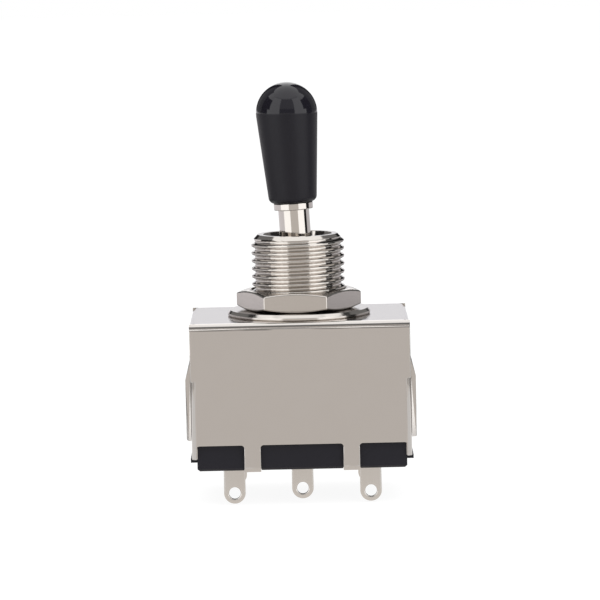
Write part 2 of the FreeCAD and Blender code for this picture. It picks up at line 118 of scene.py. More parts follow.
def make_piece(name: str, surfaces: Sequence[Surface], crease: float = 30.0) -> bpy.types.Object:
    """Makes one object of surfaces given in millimetres.

    Args:
        name: The object's name.
        surfaces: Grids of points. A solid's grid closes up once its equal points are welded.
        crease: Edges that bend by more than this many degrees stay sharp.

    Returns:
        The linked object, in metres, with its faces outwards.
    """
    points, quads, count = [], [], 0
    for surface in surfaces:
        points.append(surface.points.reshape(-1, 3) * MM)
        quads.append(surface.quads() + count)
        count += len(points[-1])
    mesh = bpy.data.meshes.new(name)
    mesh.from_pydata(np.vstack(points).tolist(), [], np.vstack(quads).tolist())
    tidy(mesh, crease)
    piece = bpy.data.objects.new(name, mesh)
    bpy.context.scene.collection.objects.link(piece)
    return piece


def tidy(mesh: bpy.types.Mesh, crease: float, flat: float = 0.0) -> None:
    """Welds equal points, drops empty faces, turns faces outwards and shades the mesh smooth.

    Args:
        mesh: The mesh, in metres.
        crease: Edges that bend by more than this many degrees stay sharp.
        flat: Faces that differ by less than this many degrees become one, or zero for none.
    """
    work = bmesh.new()
    work.from_mesh(mesh)
    bmesh.ops.remove_doubles(work, verts=work.verts, dist=2e-7)
    bmesh.ops.dissolve_degenerate(work, edges=work.edges, dist=1e-7)
    if flat:
        bmesh.ops.dissolve_limit(
            work, angle_limit=math.radians(flat), verts=work.verts, edges=work.edges
        )
    bmesh.ops.recalc_face_normals(work, faces=work.faces)
    work.to_mesh(mesh)
    work.free()
    mesh.shade_smooth()
    mesh.set_sharp_from_angle(angle=math.radians(crease))


def rounded_line(corners: Sequence[Corner], steps: int = 5) -> Array:
    """A line through (u, v) corners, where a corner given as (u, v, radius) is rounded.

    The arc of a corner touches both sides at radius / tan(half the angle between them). Its
    centre lies on the bisector at radius / sin(half the angle). One more point just past each end
    of the arc keeps the smooth shading of the arc off the straight sides.

    Args:
        corners: The corners in order. The first and last stay sharp.
        steps: Cells of each arc.

    Returns:
        The points as an array of n by 2.
    """
    line = []
    places = np.array([corner[:2] for corner in corners])
    for i, corner in enumerate(corners):
        radius = corner[2] if len(corner) > 2 and 0 < i < len(corners) - 1 else 0.0
        if not radius:
            line.append(places[i : i + 1])
            continue
        back = unit(places[i - 1] - places[i])
        ahead = unit(places[i + 1] - places[i])
        half = math.acos(float(np.clip(back @ ahead, -1, 1))) / 2
        centre = places[i] + unit(back + ahead) * radius / math.sin(half)
        start = places[i] + back * radius / math.tan(half) - centre
        end = places[i] + ahead * radius / math.tan(half) - centre
        share = np.linspace(0, 1, steps + 1)[:, None]
        sweep = math.pi - 2 * half
        arc = (np.sin((1 - share) * sweep) * start + np.sin(share * sweep) * end) / math.sin(sweep)
        line.append(centre + np.vstack([start + back * FLAT_EDGE, arc, end + ahead * FLAT_EDGE]))
    return np.vstack(line)


def unit(vector: Array) -> Array:
    """The vector at length one."""
    return vector / np.linalg.norm(vector)


def on_circle(angle: Array) -> Array:
    """Points (cos a, sin a) for angles in radians."""
    return np.stack([np.cos(angle), np.sin(angle)], axis=-1)


def around(angle: Array, radius: Any, height: Any) -> Array:
    """Points (r cos a, r sin a, z) for angles in radians, radii and heights."""
    r, z = radius + 0 * angle, height + 0 * angle
    return np.stack([r * np.cos(angle), r * np.sin(angle), z], axis=-1)


def revolve(profile: Array, columns: int = 128) -> Surface:
    """Turns a profile about the Z axis: (r cos a, r sin a, z) over one turn of the angle a.

    Args:
        profile: Rows of radius and height.
        columns: Cells round the axis.

    Returns:
        The surface, which closes where the profile starts and ends on the axis.
    """
    angle = np.linspace(0, 2 * math.pi, columns, endpoint=False)
    return Surface(around(angle, profile[:, :1], profile[:, 1:]))


def lean_about_y(degrees: float) -> Array:
    """The matrix that leans +Z towards +X by an angle."""
    c, s = math.cos(math.radians(degrees)), math.sin(math.radians(degrees))
    return np.array([[c, 0, s], [0, 1, 0], [-s, 0, c]])


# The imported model's own places


@dataclass(frozen=True)
class Box:
    """A node's box at rest, in millimetres."""

    low: Array
    high: Array

    @classmethod
    def of(cls, node: str) -> "Box":
        """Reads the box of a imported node."""
        low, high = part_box(node)
        return cls(np.array(low) / MM, np.array(high) / MM)


def body_of_node(node: str) -> str:
    """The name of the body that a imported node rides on."""
    bodies = frame["record"]["behaviour"]["bodies"]
    return next(body for body, nodes in bodies.items() if node in nodes)


def joint_place(name: str) -> Array:
    """A joint's place in millimetres."""
    joints = frame["record"]["behaviour"]["joints"]
    return np.array(next(j["pos_m"] for j in joints if j["name"] == name)) / MM


def thread_radius() -> float:
    """The outer radius of the bushing's thread in millimetres."""
    mounts = frame["record"]["mounts"]
    return next(m["dims"]["r_mm"] for m in mounts if m["name"] == "panel_thread")


def softened_copy(
    node: str, bevel: float, share: Callable[[Array], Array] | None = None
) -> bpy.types.Object:
    """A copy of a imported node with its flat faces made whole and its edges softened.

    Args:
        node: The node's name.
        bevel: Width of the softened edges in millimetres.
        share: Gives, for points in millimetres, the share of that width which an edge between such
            points gets. None softens every sharp edge in full.

    Returns:
        The linked object, which stands for the node.
    """
    piece = frame["nodes"][node].copy()
    mesh = piece.data = frame["nodes"][node].data.copy()
    piece.name = f"{node}_softened"
    piece.parent = None
    piece.matrix_world = Matrix.Identity(4)
    bpy.context.scene.collection.objects.link(piece)
    mesh.materials.clear()
    tidy(mesh, 30.0, flat=0.5)
    modifier = piece.modifiers.new("soft edges", "BEVEL")
    modifier.width = bevel * MM
    modifier.segments = 3
    modifier.harden_normals = True
    modifier.limit_method = "ANGLE"
    modifier.angle_limit = math.radians(35)
    if share is not None:
        ends = np.empty(2 * len(mesh.edges), dtype=np.int32)
        mesh.edges.foreach_get("vertices", ends)
        sharp = np.zeros(len(mesh.edges), dtype=bool)
        mesh.attributes["sharp_edge"].data.foreach_get("value", sharp)
        soft = sharp * share(mesh_points(mesh))[ends.reshape(-1, 2)].min(axis=1)
        weight = mesh.attributes.new("bevel_weight_edge", "FLOAT", "EDGE")
        weight.data.foreach_set("value", soft.astype(np.float32))
        modifier.limit_method = "WEIGHT"
        modifier.use_clamp_overlap = False
    return piece


def mesh_points(mesh: bpy.types.Mesh) -> Array:
    """The mesh's points in millimetres, as n by 3."""
    flat = np.empty(3 * len(mesh.vertices), dtype=np.float32)
    mesh.vertices.foreach_get("co", flat)
    return flat.reshape(-1, 3).astype(float) / MM


def settle(
    piece: bpy.types.Object, nodes: Sequence[str], finish: bpy.types.Material
) -> None:
    """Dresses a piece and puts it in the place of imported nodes, on their body."""
    piece.data.materials.append(finish)
    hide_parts(*nodes)
    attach(piece, body_of_node(nodes[0]))
    log.info("%s stands for %s, %d points", piece.name, ", ".join(nodes), len(piece.data.vertices))


# Shader maths


def _maths(operation: str, swapped: bool = False) -> Callable[["Sock", Any], "Sock"]:
    """A method that puts its socket and another value through a Math node.

    Args:
        operation: What the node does.
        swapped: Whether its own socket comes second.

    Returns:
        The method.
    """

    def method(self: "Sock", other: Any) -> "Sock":
        """The node's output."""
        values = (other, self) if swapped else (self, other)
        return self.graph.node("Math", dict(enumerate(values)), operation=operation)

    return method


@dataclass(frozen=True, eq=False)
class Sock:
    """A node's output, with arithmetic that adds Math nodes."""

    graph: "Graph"
    socket: bpy.types.NodeSocket | None

    __add__ = __radd__ = _maths("ADD")
    __sub__ = _maths("SUBTRACT")
    __rsub__ = _maths("SUBTRACT", swapped=True)
    __mul__ = __rmul__ = _maths("MULTIPLY")
    __truediv__ = _maths("DIVIDE")
    least = _maths("MINIMUM")
    most = _maths("MAXIMUM")

    def step(self, low: float, high: float) -> "Sock":
        """A smooth step from 0 at low to 1 at high."""
        inputs = {0: self, 1: low, 2: high}
        return self.graph.node("MapRange", inputs, interpolation_type="SMOOTHSTEP")


class Graph:
    """A node tree under construction."""

    def __init__(self, tree: bpy.types.NodeTree) -> None:
        """Empties the tree."""
        self.tree = tree
        tree.nodes.clear()

    def node(
        self,
        kind: str,
        inputs: dict[Any, Any] | None = None,
        output: int | str = 0,
        **settings: Any,
    ) -> Sock:
        """Adds a node.

        Args:
            kind: The shader node's type.
            inputs: Values or sockets by input name or number.
            output: The output that is returned.
            **settings: Properties, which are set before the inputs.

        Returns:
            The chosen output.
        """
        node = self.tree.nodes.new("ShaderNode" + kind)
        for name, value in settings.items():
            setattr(node, name, value)
        for key, value in (inputs or {}).items():
            if isinstance(value, Sock):
                self.tree.links.new(value.socket, node.inputs[key])
            else:
                node.inputs[key].default_value = value
        return Sock(self, node.outputs[output] if len(node.outputs) else None)

    def place_mm(self, scale: Sequence[float] = (1, 1, 1)) -> Sock:
        """Object coordinates in millimetres, stretched by a scale."""
        coordinates = self.node("TexCoord", output="Object")
        return self.node("Mapping", {"Vector": coordinates, "Scale": [s / MM for s in scale]})

    def noise(self, place: Sock, scale: float, detail: float = 3.0, rough: float = 0.55) -> Sock:
        """Soft noise from 0 to 1, with scale in features per unit of the place."""
        inputs = {"Vector": place, "Scale": scale, "Detail": detail, "Roughness": rough}
        return self.node("TexNoise", inputs)

    def blend(self, factor: Any, a: Any, b: Any) -> Sock:
        """Colour a where the factor is 0 and colour b where it is 1."""
        return self.node("Mix", {0: factor, 6: a, 7: b}, output=2, data_type="RGBA")

    def height(self, place: Sock) -> Sock:
        """The upright number of a place."""
        return self.node("SeparateXYZ", {0: place}, output="Z")

    def bump(self, height: Sock, distance: float) -> Sock:
        """A normal bent by a height from 0 to 1 that stands for so many millimetres."""
        return self.node("Bump", {"Height": height, "Distance": distance * MM, "Strength": 1.0})


def rgba(colour: Sequence[float], level: float = 1.0) -> tuple[float, float, float, float]:
    """A linear colour at a level, with full alpha."""
    return (*(c * level for c in colour), 1.0)


def new_material(name: str) -> tuple[bpy.types.Material, Graph]:
    """A new material, and its node tree as an empty graph."""
    material = bpy.data.materials.new(name)
    material.use_nodes = True
    return material, Graph(material.node_tree)


class Grain(Enum):
    """The marks of a metal piece's making: features per millimetre on each axis, and detail."""

    TUMBLED = ((5.0, 5.0, 5.0), 2.0)
    TURNED = ((0.4, 0.4, 9.0), 3.0)
    ROLLED = ((6.0, 6.0, 0.6), 3.0)
    MILLED = ((5.0, 5.0, 14.0), 4.0)


@dataclass(frozen=True)
class PaintedBendLine:
    """A painted dark line along the case's walls at one height, on and just below the top bend:
    painted reflection of the dark shade over the camera, laid into the base colour.

    It shows in full where a noise that changes break_scale times in a millimetre is above the second
    number of breaks, and not at all where it is under the first.
    """

    height: float
    half_width: float
    strength: float
    breaks: Pair
    break_scale: float = 0.12
    # Dark colour of the painted reflection line.
    colour: Triple = (0.1, 0.09, 0.085)

    def mark(self, graph: Graph) -> Sock:
        """How much of the painted line shows: strength * (1 - (distance / half width) squared) *
        break noise.
        """
        off = graph.height(graph.place_mm()) - self.height
        line = 1 - ((off * off) / self.half_width**2).least(1.0)
        along = graph.noise(graph.place_mm(), self.break_scale, 1.0).step(*self.breaks)
        return line * along * self.strength


@dataclass(frozen=True)
class Plate:
    """Nickel or tin plate on a metal piece."""

    name: str
    colour: Triple
    roughness: float
    grain: Grain
    grain_depth: float = 0.0006
    cloud: float = 0.05
    cloud_scale: float = 0.35
    speckle_scale: float = 3.0
    speckle_share: float = 0.6
    least_roughness: float = 0.02
    stain: float = 0.06
    stain_filter: Triple = (0.8, 0.74, 0.68)
    # Painted dark reflection lines, blended into the base colour.
    painted_lines: tuple[PaintedBendLine, ...] = ()

    def material(self) -> bpy.types.Material:
        """Builds the material.

        Returns:
            Metal whose roughness and tone drift slightly, with fine marks along the grain and any
            painted dark reflection lines in its colour.
        """
        material, graph = new_material(self.name)
        cloud = graph.noise(graph.place_mm(), self.cloud_scale, 4.0)
        speckle = graph.noise(graph.place_mm(), self.speckle_scale, 2.0)
        stretch, detail = self.grain.value
        marks = graph.noise(graph.place_mm(stretch), 1.0, detail)
        tone = graph.blend(
            (cloud - 0.5) * 2 * self.stain + 0.5 * self.stain,
            rgba(self.colour),
            rgba([c * f for c, f in zip(self.colour, self.stain_filter)]),
        )
        # Painted reflection: each line darkens the base colour where the bend would mirror the dark
        # shade card.
        for crease in self.painted_lines:
            tone = graph.blend(crease.mark(graph), tone, rgba(crease.colour))
        drift = (cloud - 0.5) * self.cloud + (speckle - 0.5) * self.cloud * self.speckle_share
        inputs = {
            "Base Color": tone,
            "Metallic": 1.0,
            "Roughness": (drift + self.roughness).most(self.least_roughness),
            "Normal": graph.bump(marks, self.grain_depth),
        }
        surface = graph.node("BsdfPrincipled", inputs)
        graph.node("OutputMaterial", {"Surface": surface})
        return material


@dataclass(frozen=True)
class Moulding:
    """Moulded plastic."""

    name: str
    colour: Triple
    roughness: float
    pebble: float = 0.0006
    shine: float = 0.25
    smooth_above: float | None = None
    smooth_roughness: float = 0.1
    smooth_coat: float = 0.45
    smooth_blend: float = 0.1
    coat_roughness: float = 0.06
    cloud_scale: float = 0.5
    pebble_scale: float = 4.0
    blotch: float = 0.12
    tone_drift: float = 0.06

    def material(self) -> bpy.types.Material:
        """Builds the material.

        Returns:
            Plastic with a faint pebble, glossier above a height where one is named.
        """
        material, graph = new_material(self.name)
        place = graph.place_mm()
        cloud = graph.noise(place, self.cloud_scale)
        roughness = (cloud - 0.5) * self.blotch + self.roughness
        coat: Any = 0.0
        if self.smooth_above is not None:
            height = graph.height(place)
            edge, blend = self.smooth_above, self.smooth_blend
            gloss = height.step(edge - blend, edge + blend)
            roughness = roughness - gloss * (self.roughness - self.smooth_roughness)
            coat = gloss * self.smooth_coat
        drift = self.tone_drift
        darker, lighter = rgba(self.colour, 1 - drift), rgba(self.colour, 1 + drift)
        inputs = {
            "Base Color": graph.blend(cloud, darker, lighter),
            "Roughness": roughness,
            "Specular IOR Level": self.shine,
            "Coat Weight": coat,
            "Coat Roughness": self.coat_roughness,
            "Normal": graph.bump(graph.noise(place, self.pebble_scale), self.pebble),
        }
        surface = graph.node("BsdfPrincipled", inputs)
        graph.node("OutputMaterial", {"Surface": surface})
        return material


# Linear colours
WHITE = (1.0, 1.0, 1.0)
WARM_GREY = (0.74, 0.705, 0.67)
COOL_WHITE = (0.95, 0.945, 0.98)
LILAC_GREY = (0.98, 0.95, 0.985)
NICKEL = (0.62, 0.585, 0.55)
CASE_TONE = (0.61, 0.58, 0.555)

BRIGHT_NICKEL = Plate("bright nickel plate", NICKEL, 0.09, Grain.TURNED, 0.0004)
WASHER_NICKEL = Plate("bright washer plate", NICKEL, 0.13, Grain.TUMBLED, 0.0006)
NUT_NICKEL = Plate("satin nut plate", (0.6, 0.565, 0.53), 0.19, Grain.MILLED, 0.0022)
LEVER_NICKEL = Plate("polished lever plate", NICKEL, 0.07, Grain.TURNED, 0.0003)
# Painted reflection lines on the case's walls at the top bend, dark where the bend would mirror the
# shade over the camera.
PAINTED_BEND_LINES = (PaintedBendLine(-0.45, 0.12, 0.75, (0.0, 0.2)), PaintedBendLine(-0.85, 0.1, 0.6, (0.4, 0.52)))
CASE_NICKEL = Plate("satin case plate", CASE_TONE, 0.12, Grain.ROLLED, 0.0008, painted_lines=PAINTED_BEND_LINES)
LUG_TIN = Plate("satin lug tin", (0.68, 0.65, 0.62), 0.22, Grain.ROLLED, 0.0012)
BALL_STEEL = Plate("bright ball steel", (0.58, 0.58, 0.58), 0.12, Grain.TUMBLED)
SPRING_BRONZE = Plate("spring bronze strip", (0.68, 0.44, 0.24), 0.25, Grain.ROLLED)
TIP_BLACK = Moulding("glossy black tip", (0.0085, 0.0079, 0.0112), 0.4, shine=0.21)
BASE_BLACK = Moulding("black moulded base", (0.008, 0.0075, 0.012), 0.42)
SLIDER_WHITE = Moulding("natural white slider", (0.62, 0.6, 0.54), 0.5)


# The bushing and its thread


@dataclass
class ThreadedBushing:
    """The threaded bushing that holds the lever's ball."""

    node: str = "bushing"
    pitch: float = 1.0
    crest_flat: float = 0.22
    root_flat: float = 0.24
    crest_round: float = 0.14
    root_round: float = 0.14
    chamfer_height: float = 0.9
    top_inset: float = 0.85
    top_land: float = 0.7
    mouth_depth: float = 1.5
    mouth_taper: float = 0.5
    mouth_round: float = 0.3
    lip_round: float = 0.1
    lip_edge: float = 0.02
    flange_round: float = 0.15
    ball_radius: float = 3.2
    seat_gap: float = 0.05
    throat_overlap: float = 0.45
    sheet: float = 0.6
    start_angle: float = 180.0
    columns: int = 192

    def __post_init__(self) -> None:
        """Reads the bushing's box, the thread's radius and the ball's place."""
        self.box = Box.of(self.node)
        self.radius = thread_radius()
        self.pivot = joint_place("lever_tilt")

    @property
    def depth(self) -> float:
        """Crest to root of a thread with flanks at 60 degrees to each other."""
        run = (self.pitch - self.crest_flat - self.root_flat) / 2
        return run / math.tan(math.radians(30))

    def thread_turn(self) -> Array:
        """One pitch of the thread, from one root's middle to the next, as (height, radius)."""
        half, root = self.pitch / 2, self.radius - self.depth
        corners = [
            (0, root),
            (self.root_flat / 2, root, self.root_round),
            (half - self.crest_flat / 2, self.radius, self.crest_round),
            (half + self.crest_flat / 2, self.radius, self.crest_round),
            (self.pitch - self.root_flat / 2, root, self.root_round),
            (self.pitch, root),
        ]
        return rounded_line(corners, 4)

    def thread(self, low: float, high: float, limit: Callable[[Array], Array]) -> Array:
        """The helical rows between two heights.

        A row at phase t stands at height t + pitch * angle / 360, so that the rows climb one pitch
        in a turn. Heights are held between low and high, and radii under the limit at their height,
        so that the thread runs out on the chamfer.

        Args:
            low: Height of the thread's lower end.
            high: Height of its upper end.
            limit: The largest radius at each height.

        Returns:
            Points of rows by columns by 3. The last column repeats the first one, a turn higher.
        """
        turn = self.thread_turn()[:-1]
        turns = np.arange(math.floor(low / self.pitch) - 2, math.ceil(high / self.pitch) + 1)
        heights = (turns[:, None] * self.pitch + turn[:, 0]).ravel()[:, None]
        radii = np.tile(turn[:, 1], len(turns))[:, None]
        angle = np.linspace(0, 2 * math.pi, self.columns + 1)
        # a crest, half a pitch above its root, passes whole heights at the start angle
        climb = self.pitch * (angle / (2 * math.pi) - self.start_angle / 360 + 0.5)
        z = heights + climb
        inside = (z > low) & (z < high)
        z = np.clip(z, low, high)
        root = self.radius - self.depth
        r = np.where(inside, np.minimum(radii, limit(z)), np.minimum(root, limit(z)))
        return around(angle, r, z)

    def build(self) -> None:
        """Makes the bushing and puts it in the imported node's place."""
        top, bottom = self.box.high[2], self.box.low[2]
        top_radius = self.radius - self.top_inset
        slope = self.top_inset / self.chamfer_height
        thread = self.thread(0.0, top, lambda z: top_radius + np.maximum(top - z, 0) * slope)
        throat = self.ball_radius - self.throat_overlap
        seat = self.ball_radius + self.seat_gap
        throat_z = self.pivot[2] + math.sqrt(seat**2 - throat**2)
        countersink = top_radius - self.top_land
        sweep = np.linspace(math.asin(throat / seat), math.pi / 2, 9)
        bowl = seat * on_circle(sweep)[:, ::-1] + [0, self.pivot[2]]
        corners = [
            (throat, throat_z),
            (countersink - self.mouth_taper, top - self.mouth_depth, self.mouth_round),
            (countersink, top, self.lip_round),
            (top_radius - self.lip_edge, top),
        ]
        upper = rounded_line(corners)
        corners = [
            (self.radius - self.depth, -self.sheet),
            (self.box.high[0], -self.sheet, self.lip_round),
            (self.box.high[0], bottom, self.flange_round),
            (seat, bottom, self.lip_round),
            (seat, self.pivot[2]),
        ]
        lower = rounded_line(corners)
        angle = np.linspace(0, 2 * math.pi, self.columns + 1)
        lines = (np.vstack([bowl[::-1], upper[1:]]), lower)
        inside, below = (around(angle, line[:, :1], line[:, 1:]) for line in lines)
        points = np.vstack([inside, thread[::-1], below])
        piece = make_piece("threaded_bushing", [Surface(points, True, False)])
        settle(piece, [self.node], BRIGHT_NICKEL.material())


# Washer and nut


@dataclass
class PanelHardware:
    """The flat washer on the case, and the hexagon nut that clamps it.

    washer_rounds are the radii of the washer's corners, from the rim's foot up and in to the hole's
    upper edge.
    """

    columns: int = 192
    across_flats: float = 14.0
    nut_turn: float = -3.9
    corner_round: float = 0.3
    face_inset: float = 0.25
    corner_drop: float = 0.5
    bore_gap: float = 0.04
    countersink: float = 0.3
    washer_gap: float = 0.15
    rim_bevel: float = 0.3
    bevel_height: float = 0.4
    rim_tuck: float = 0.12
    washer_rounds: tuple[float, ...] = (0.03, 0.04, 0.08, 0.06, 0.08)
    edge_soft: float = 0.12
    circle_dip: float = 0.15
    edge_roll: tuple[Triple, ...] = (
        (1.0, 1.0, 0.0),
        (0.6, 0.4, 0.1),
        (0.25, 0.0, 0.28),
        (0.05, 0.0, 0.65),
        (0.0, 0.0, 1.0),
    )

    def build(self) -> None:
        """Makes both pieces."""
        self.build_washer()
        self.build_nut()

    def build_washer(self) -> None:
        """A stamped ring, whose rim leans in above and is tucked in below."""
        box = Box.of("flat_washer")
        rim, hole = box.high[0], thread_radius() + self.washer_gap
        low, high = box.low[2], box.high[2]
        corners = [
            (rim - self.rim_tuck, low),
            (rim, low + self.rim_tuck),
            (rim, high - self.bevel_height),
            (rim - self.rim_bevel, high),
            (hole, high),
        ]
        rounded = [(*corner, radius) for corner, radius in zip(corners, self.washer_rounds)]
        profile = rounded_line([(hole, low), *rounded, (hole, low)], 6)
        ring = replace(revolve(profile[:-1], self.columns), wrap_rows=True)
        piece = make_piece("flat_washer_round", [ring])
        settle(piece, ["flat_washer"], WASHER_NICKEL.material())

    def hexagon(self, corner_cells: int = 6, side_cells: int = 16) -> Array:
        """Angle and distance from the axis round a hexagon with rounded corners.

        Each side runs straight at half the width across flats, and each corner is an arc about a
        point on the corner's own spoke.

        Returns:
            Rows of angle in radians and distance, for one turn.
        """
        flat, turn = self.across_flats / 2, math.radians(30)
        c, s = math.cos(turn), math.sin(turn)
        spoke = (flat - self.corner_round) / c
        arc = np.linspace(-turn, turn, corner_cells + 1)
        corner = [spoke, 0.0] + self.corner_round * on_circle(arc)
        reach = spoke * s - FLAT_EDGE
        run = np.linspace(-reach, reach, side_cells + 1)[:, None]
        side = flat * np.array([c, s]) + run * [-s, c]
        sixth = np.vstack([corner, side])
        angle = np.arctan2(sixth[:, 1], sixth[:, 0])
        distance = np.hypot(sixth[:, 0], sixth[:, 1])
        sixths = np.arange(6)[:, None] * math.pi / 3 + math.radians(self.nut_turn)
        return np.stack([(sixths + angle).ravel(), np.tile(distance, 6)], axis=-1)

    def build_nut(self) -> None:
        """A nut whose corners are chamfered on both faces.

        A chamfer starts at a circle just inside the flats and falls to its full drop at the
        corners, so its lower edge is a bow on every flat: height = top - drop * (distance - circle)
        / (corner - circle). The edge below it rolls over in rows that edge_roll gives as shares of
        edge_soft: how far in, how much of the chamfer's climb, and how far down.
        """
        box = Box.of("panel_nut")
        low, high = box.low[2], box.high[2]
        outline = self.hexagon()
        angle, distance = outline[:, 0], outline[:, 1]
        circle = self.across_flats / 2 - self.face_inset
        slope = self.corner_drop / (self.across_flats / math.sqrt(3) - circle)
        bore = thread_radius() + self.bore_gap
        lip = bore + self.countersink
        soft, edge = self.edge_soft, high - slope * (distance - circle)
        rows = [
            (bore, high - self.countersink),
            (lip - FLAT_EDGE, high - FLAT_EDGE),
            (lip + FLAT_EDGE, high),
            (circle - soft, high),
            (circle, high - soft * self.circle_dip),
        ]
        rows += [
            (distance - soft * inset, edge + soft * (climb * slope - drop))
            for inset, climb, drop in self.edge_roll
        ]
        rows.append((distance, edge - soft - FLAT_EDGE))
        upper = [around(angle, radius, height) for radius, height in rows]
        lower = [row * [1, 1, -1] + [0, 0, low + high] for row in reversed(upper)]
        points = np.stack(upper + lower)
        piece = make_piece("chamfered_nut", [Surface(points, True, True)], 40.0)
        settle(piece, ["panel_nut"], NUT_NICKEL.material())


# The lever and its tip


@dataclass
class BatLever:
    """The turned lever with its collar, and the plastic tip on it."""

    ball_radius: float = 3.2
    shaft_radius: float = 2.0
    collar_radius: float = 2.525
    collar_height: float = 0.87
    collar_round: float = 0.1
    shaft_round: float = 0.06
    stud_radius: float = 1.6
    stud_length: float = 9.5
    stud_round: float = 0.2
    stud_foot_round: float = 0.05
    stud_gap: float = 0.05
    tail_radius: float = 1.2
    knuckle_radius: float = 1.5
    tip_bottom_radius: float = 3.06
    tip_bottom_round: float = 0.8
    tip_hole_round: float = 0.1
    tip_length: float = 15.55
    tip_band: float = 0.3

    def __post_init__(self) -> None:
        """Reads the pivot, and works out the lean from where the tip's dome stands."""
        tip = Box.of("lever_tip")
        self.pivot = joint_place("lever_tilt")
        self.dome = (tip.high[1] - tip.low[1]) / 2
        across = tip.low[0] + self.dome - self.pivot[0]
        up = tip.high[2] - self.dome - self.pivot[2]
        self.lean = math.degrees(math.atan2(across, up))
        self.top = math.hypot(across, up) + self.dome
        self.collar_top = self.top - self.tip_length
        self.tail_length = self.pivot[2] - Box.of("lever").low[2]

    def on_axis(self, profile: Array, columns: int = 128) -> Surface:
        """A profile turned about the lever's own axis, where the lever leans."""
        return revolve(profile, columns).placed(lean_about_y(self.lean), self.pivot)

    def build(self) -> None:
        """Makes the lever and its tip."""
        top = self.collar_top
        below = top - self.collar_height
        neck = math.asin(self.shaft_radius / self.ball_radius)
        waist = math.pi - math.asin(self.tail_radius / self.ball_radius)
        sweep = np.linspace(neck, waist, 33)
        ball = self.ball_radius * on_circle(sweep)[:, ::-1]
        corners = [
            (0, top + self.stud_length),
            (self.stud_radius, top + self.stud_length, self.stud_round),
            (self.stud_radius, top, self.stud_foot_round),
            (self.collar_radius, top, self.collar_round),
            (self.collar_radius, below, self.collar_round),
            (self.shaft_radius, below, self.shaft_round),
            (self.shaft_radius, ball[0, 1]),
        ]
        stem = rounded_line(corners, 4)
        knuckle = np.linspace(math.asin(self.tail_radius / self.knuckle_radius), math.pi, 17)
        end = self.knuckle_radius * on_circle(knuckle)[:, ::-1]
        end[-1, 0] = 0.0
        profile = np.vstack([stem, ball, end - [0, self.tail_length - self.knuckle_radius]])
        lever = make_piece("polished_lever", [self.on_axis(profile)])
        settle(lever, ["lever"], LEVER_NICKEL.material())
        self.build_tip()

    def build_tip(self) -> None:
        """The tip: a cone that widens upwards into a short band and a half round dome."""
        bottom, top = self.collar_top, self.top
        hole = self.stud_radius + self.stud_gap
        hole_top = bottom + self.stud_length + self.stud_gap
        taper_end = top - self.dome - self.tip_band
        sweep = np.linspace(math.pi / 2, 0, 33)
        dome = self.dome * on_circle(sweep)[:, ::-1] + [0, top - self.dome]
        dome[-1, 0] = 0.0
        corners = [
            (0, hole_top),
            (hole, hole_top),
            (hole, bottom, self.tip_hole_round),
            (self.tip_bottom_radius, bottom, self.tip_bottom_round),
            (self.dome, taper_end),
            (self.dome, dome[0, 1]),
        ]
        side = rounded_line(corners, 8)
        tip = make_piece("black_tip", [self.on_axis(np.vstack([side, dome]), 160)])
        finish = replace(TIP_BLACK, smooth_above=self.pivot[2] + self.top - self.dome)
        settle(tip, ["lever_tip"], finish.material())


# Case, base and lugs


@dataclass
class Housing:
    """The folded case and the moulded base.

    The shear left the end flaps' side edges at a slant, so their outer face is the narrower one, by
    flap_slant on each side. The flaps' side faces stand between the two shares cap_zone of half the
    case's depth.
    """

    flap_soft: float = 0.25
    flap_slant: float = 0.24
    wall_share: float = 0.45
    base_soft: float = 0.08
    cap_zone: Pair = (0.9, 0.93)
    cap_normal: float = 0.99

    def build(self) -> None:
        """Softens the cut edges of the case and the edges of the base."""
        box = Box.of("case")

        def share(points: Array) -> Array:
            """One on the end flaps' outer faces, less on the front and back, and else nothing."""
            inset = box.high - np.abs(points)
            on_wall = np.where(inset[:, 1] < TOUCH, self.wall_share, 0.0)
            return np.where(inset[:, 0] < TOUCH, 1.0, on_wall)

        case = softened_copy("case", self.flap_soft, share)
        self.cut_caps(case.data, box.high[1])
        points = mesh_points(case.data)
        outer = box.high[0] - np.abs(points[:, 0]) < TOUCH
        points[:, 1] -= np.where(outer, np.sign(points[:, 1]) * self.flap_slant, 0.0)
        case.data.vertices.foreach_set("co", (points * MM).astype(np.float32).ravel())
        settle(case, ["case"], CASE_NICKEL.material())
        base = softened_copy("base", self.base_soft)
        settle(base, ["base"], BASE_BLACK.material())

    def cut_caps(self, mesh: bpy.types.Mesh, half: float) -> None:
        """Cuts the flaps' side faces into flat triangles, so that they can bend at the step.

        Args:
            mesh: The case's mesh.
            half: Half of the case's depth in millimetres.
        """
        work = bmesh.new()
        work.from_mesh(mesh)
        low, high = (share * half * MM for share in self.cap_zone)
        sides = [face for face in work.faces if abs(face.normal.y) > self.cap_normal]
        caps = [face for face in sides if low < abs(face.calc_center_median().y) < high]
        cut = bmesh.ops.triangulate(work, faces=caps, ngon_method="EAR_CLIP")
        for face in cut["faces"]:
            face.smooth = False
        work.to_mesh(mesh)
        work.free()


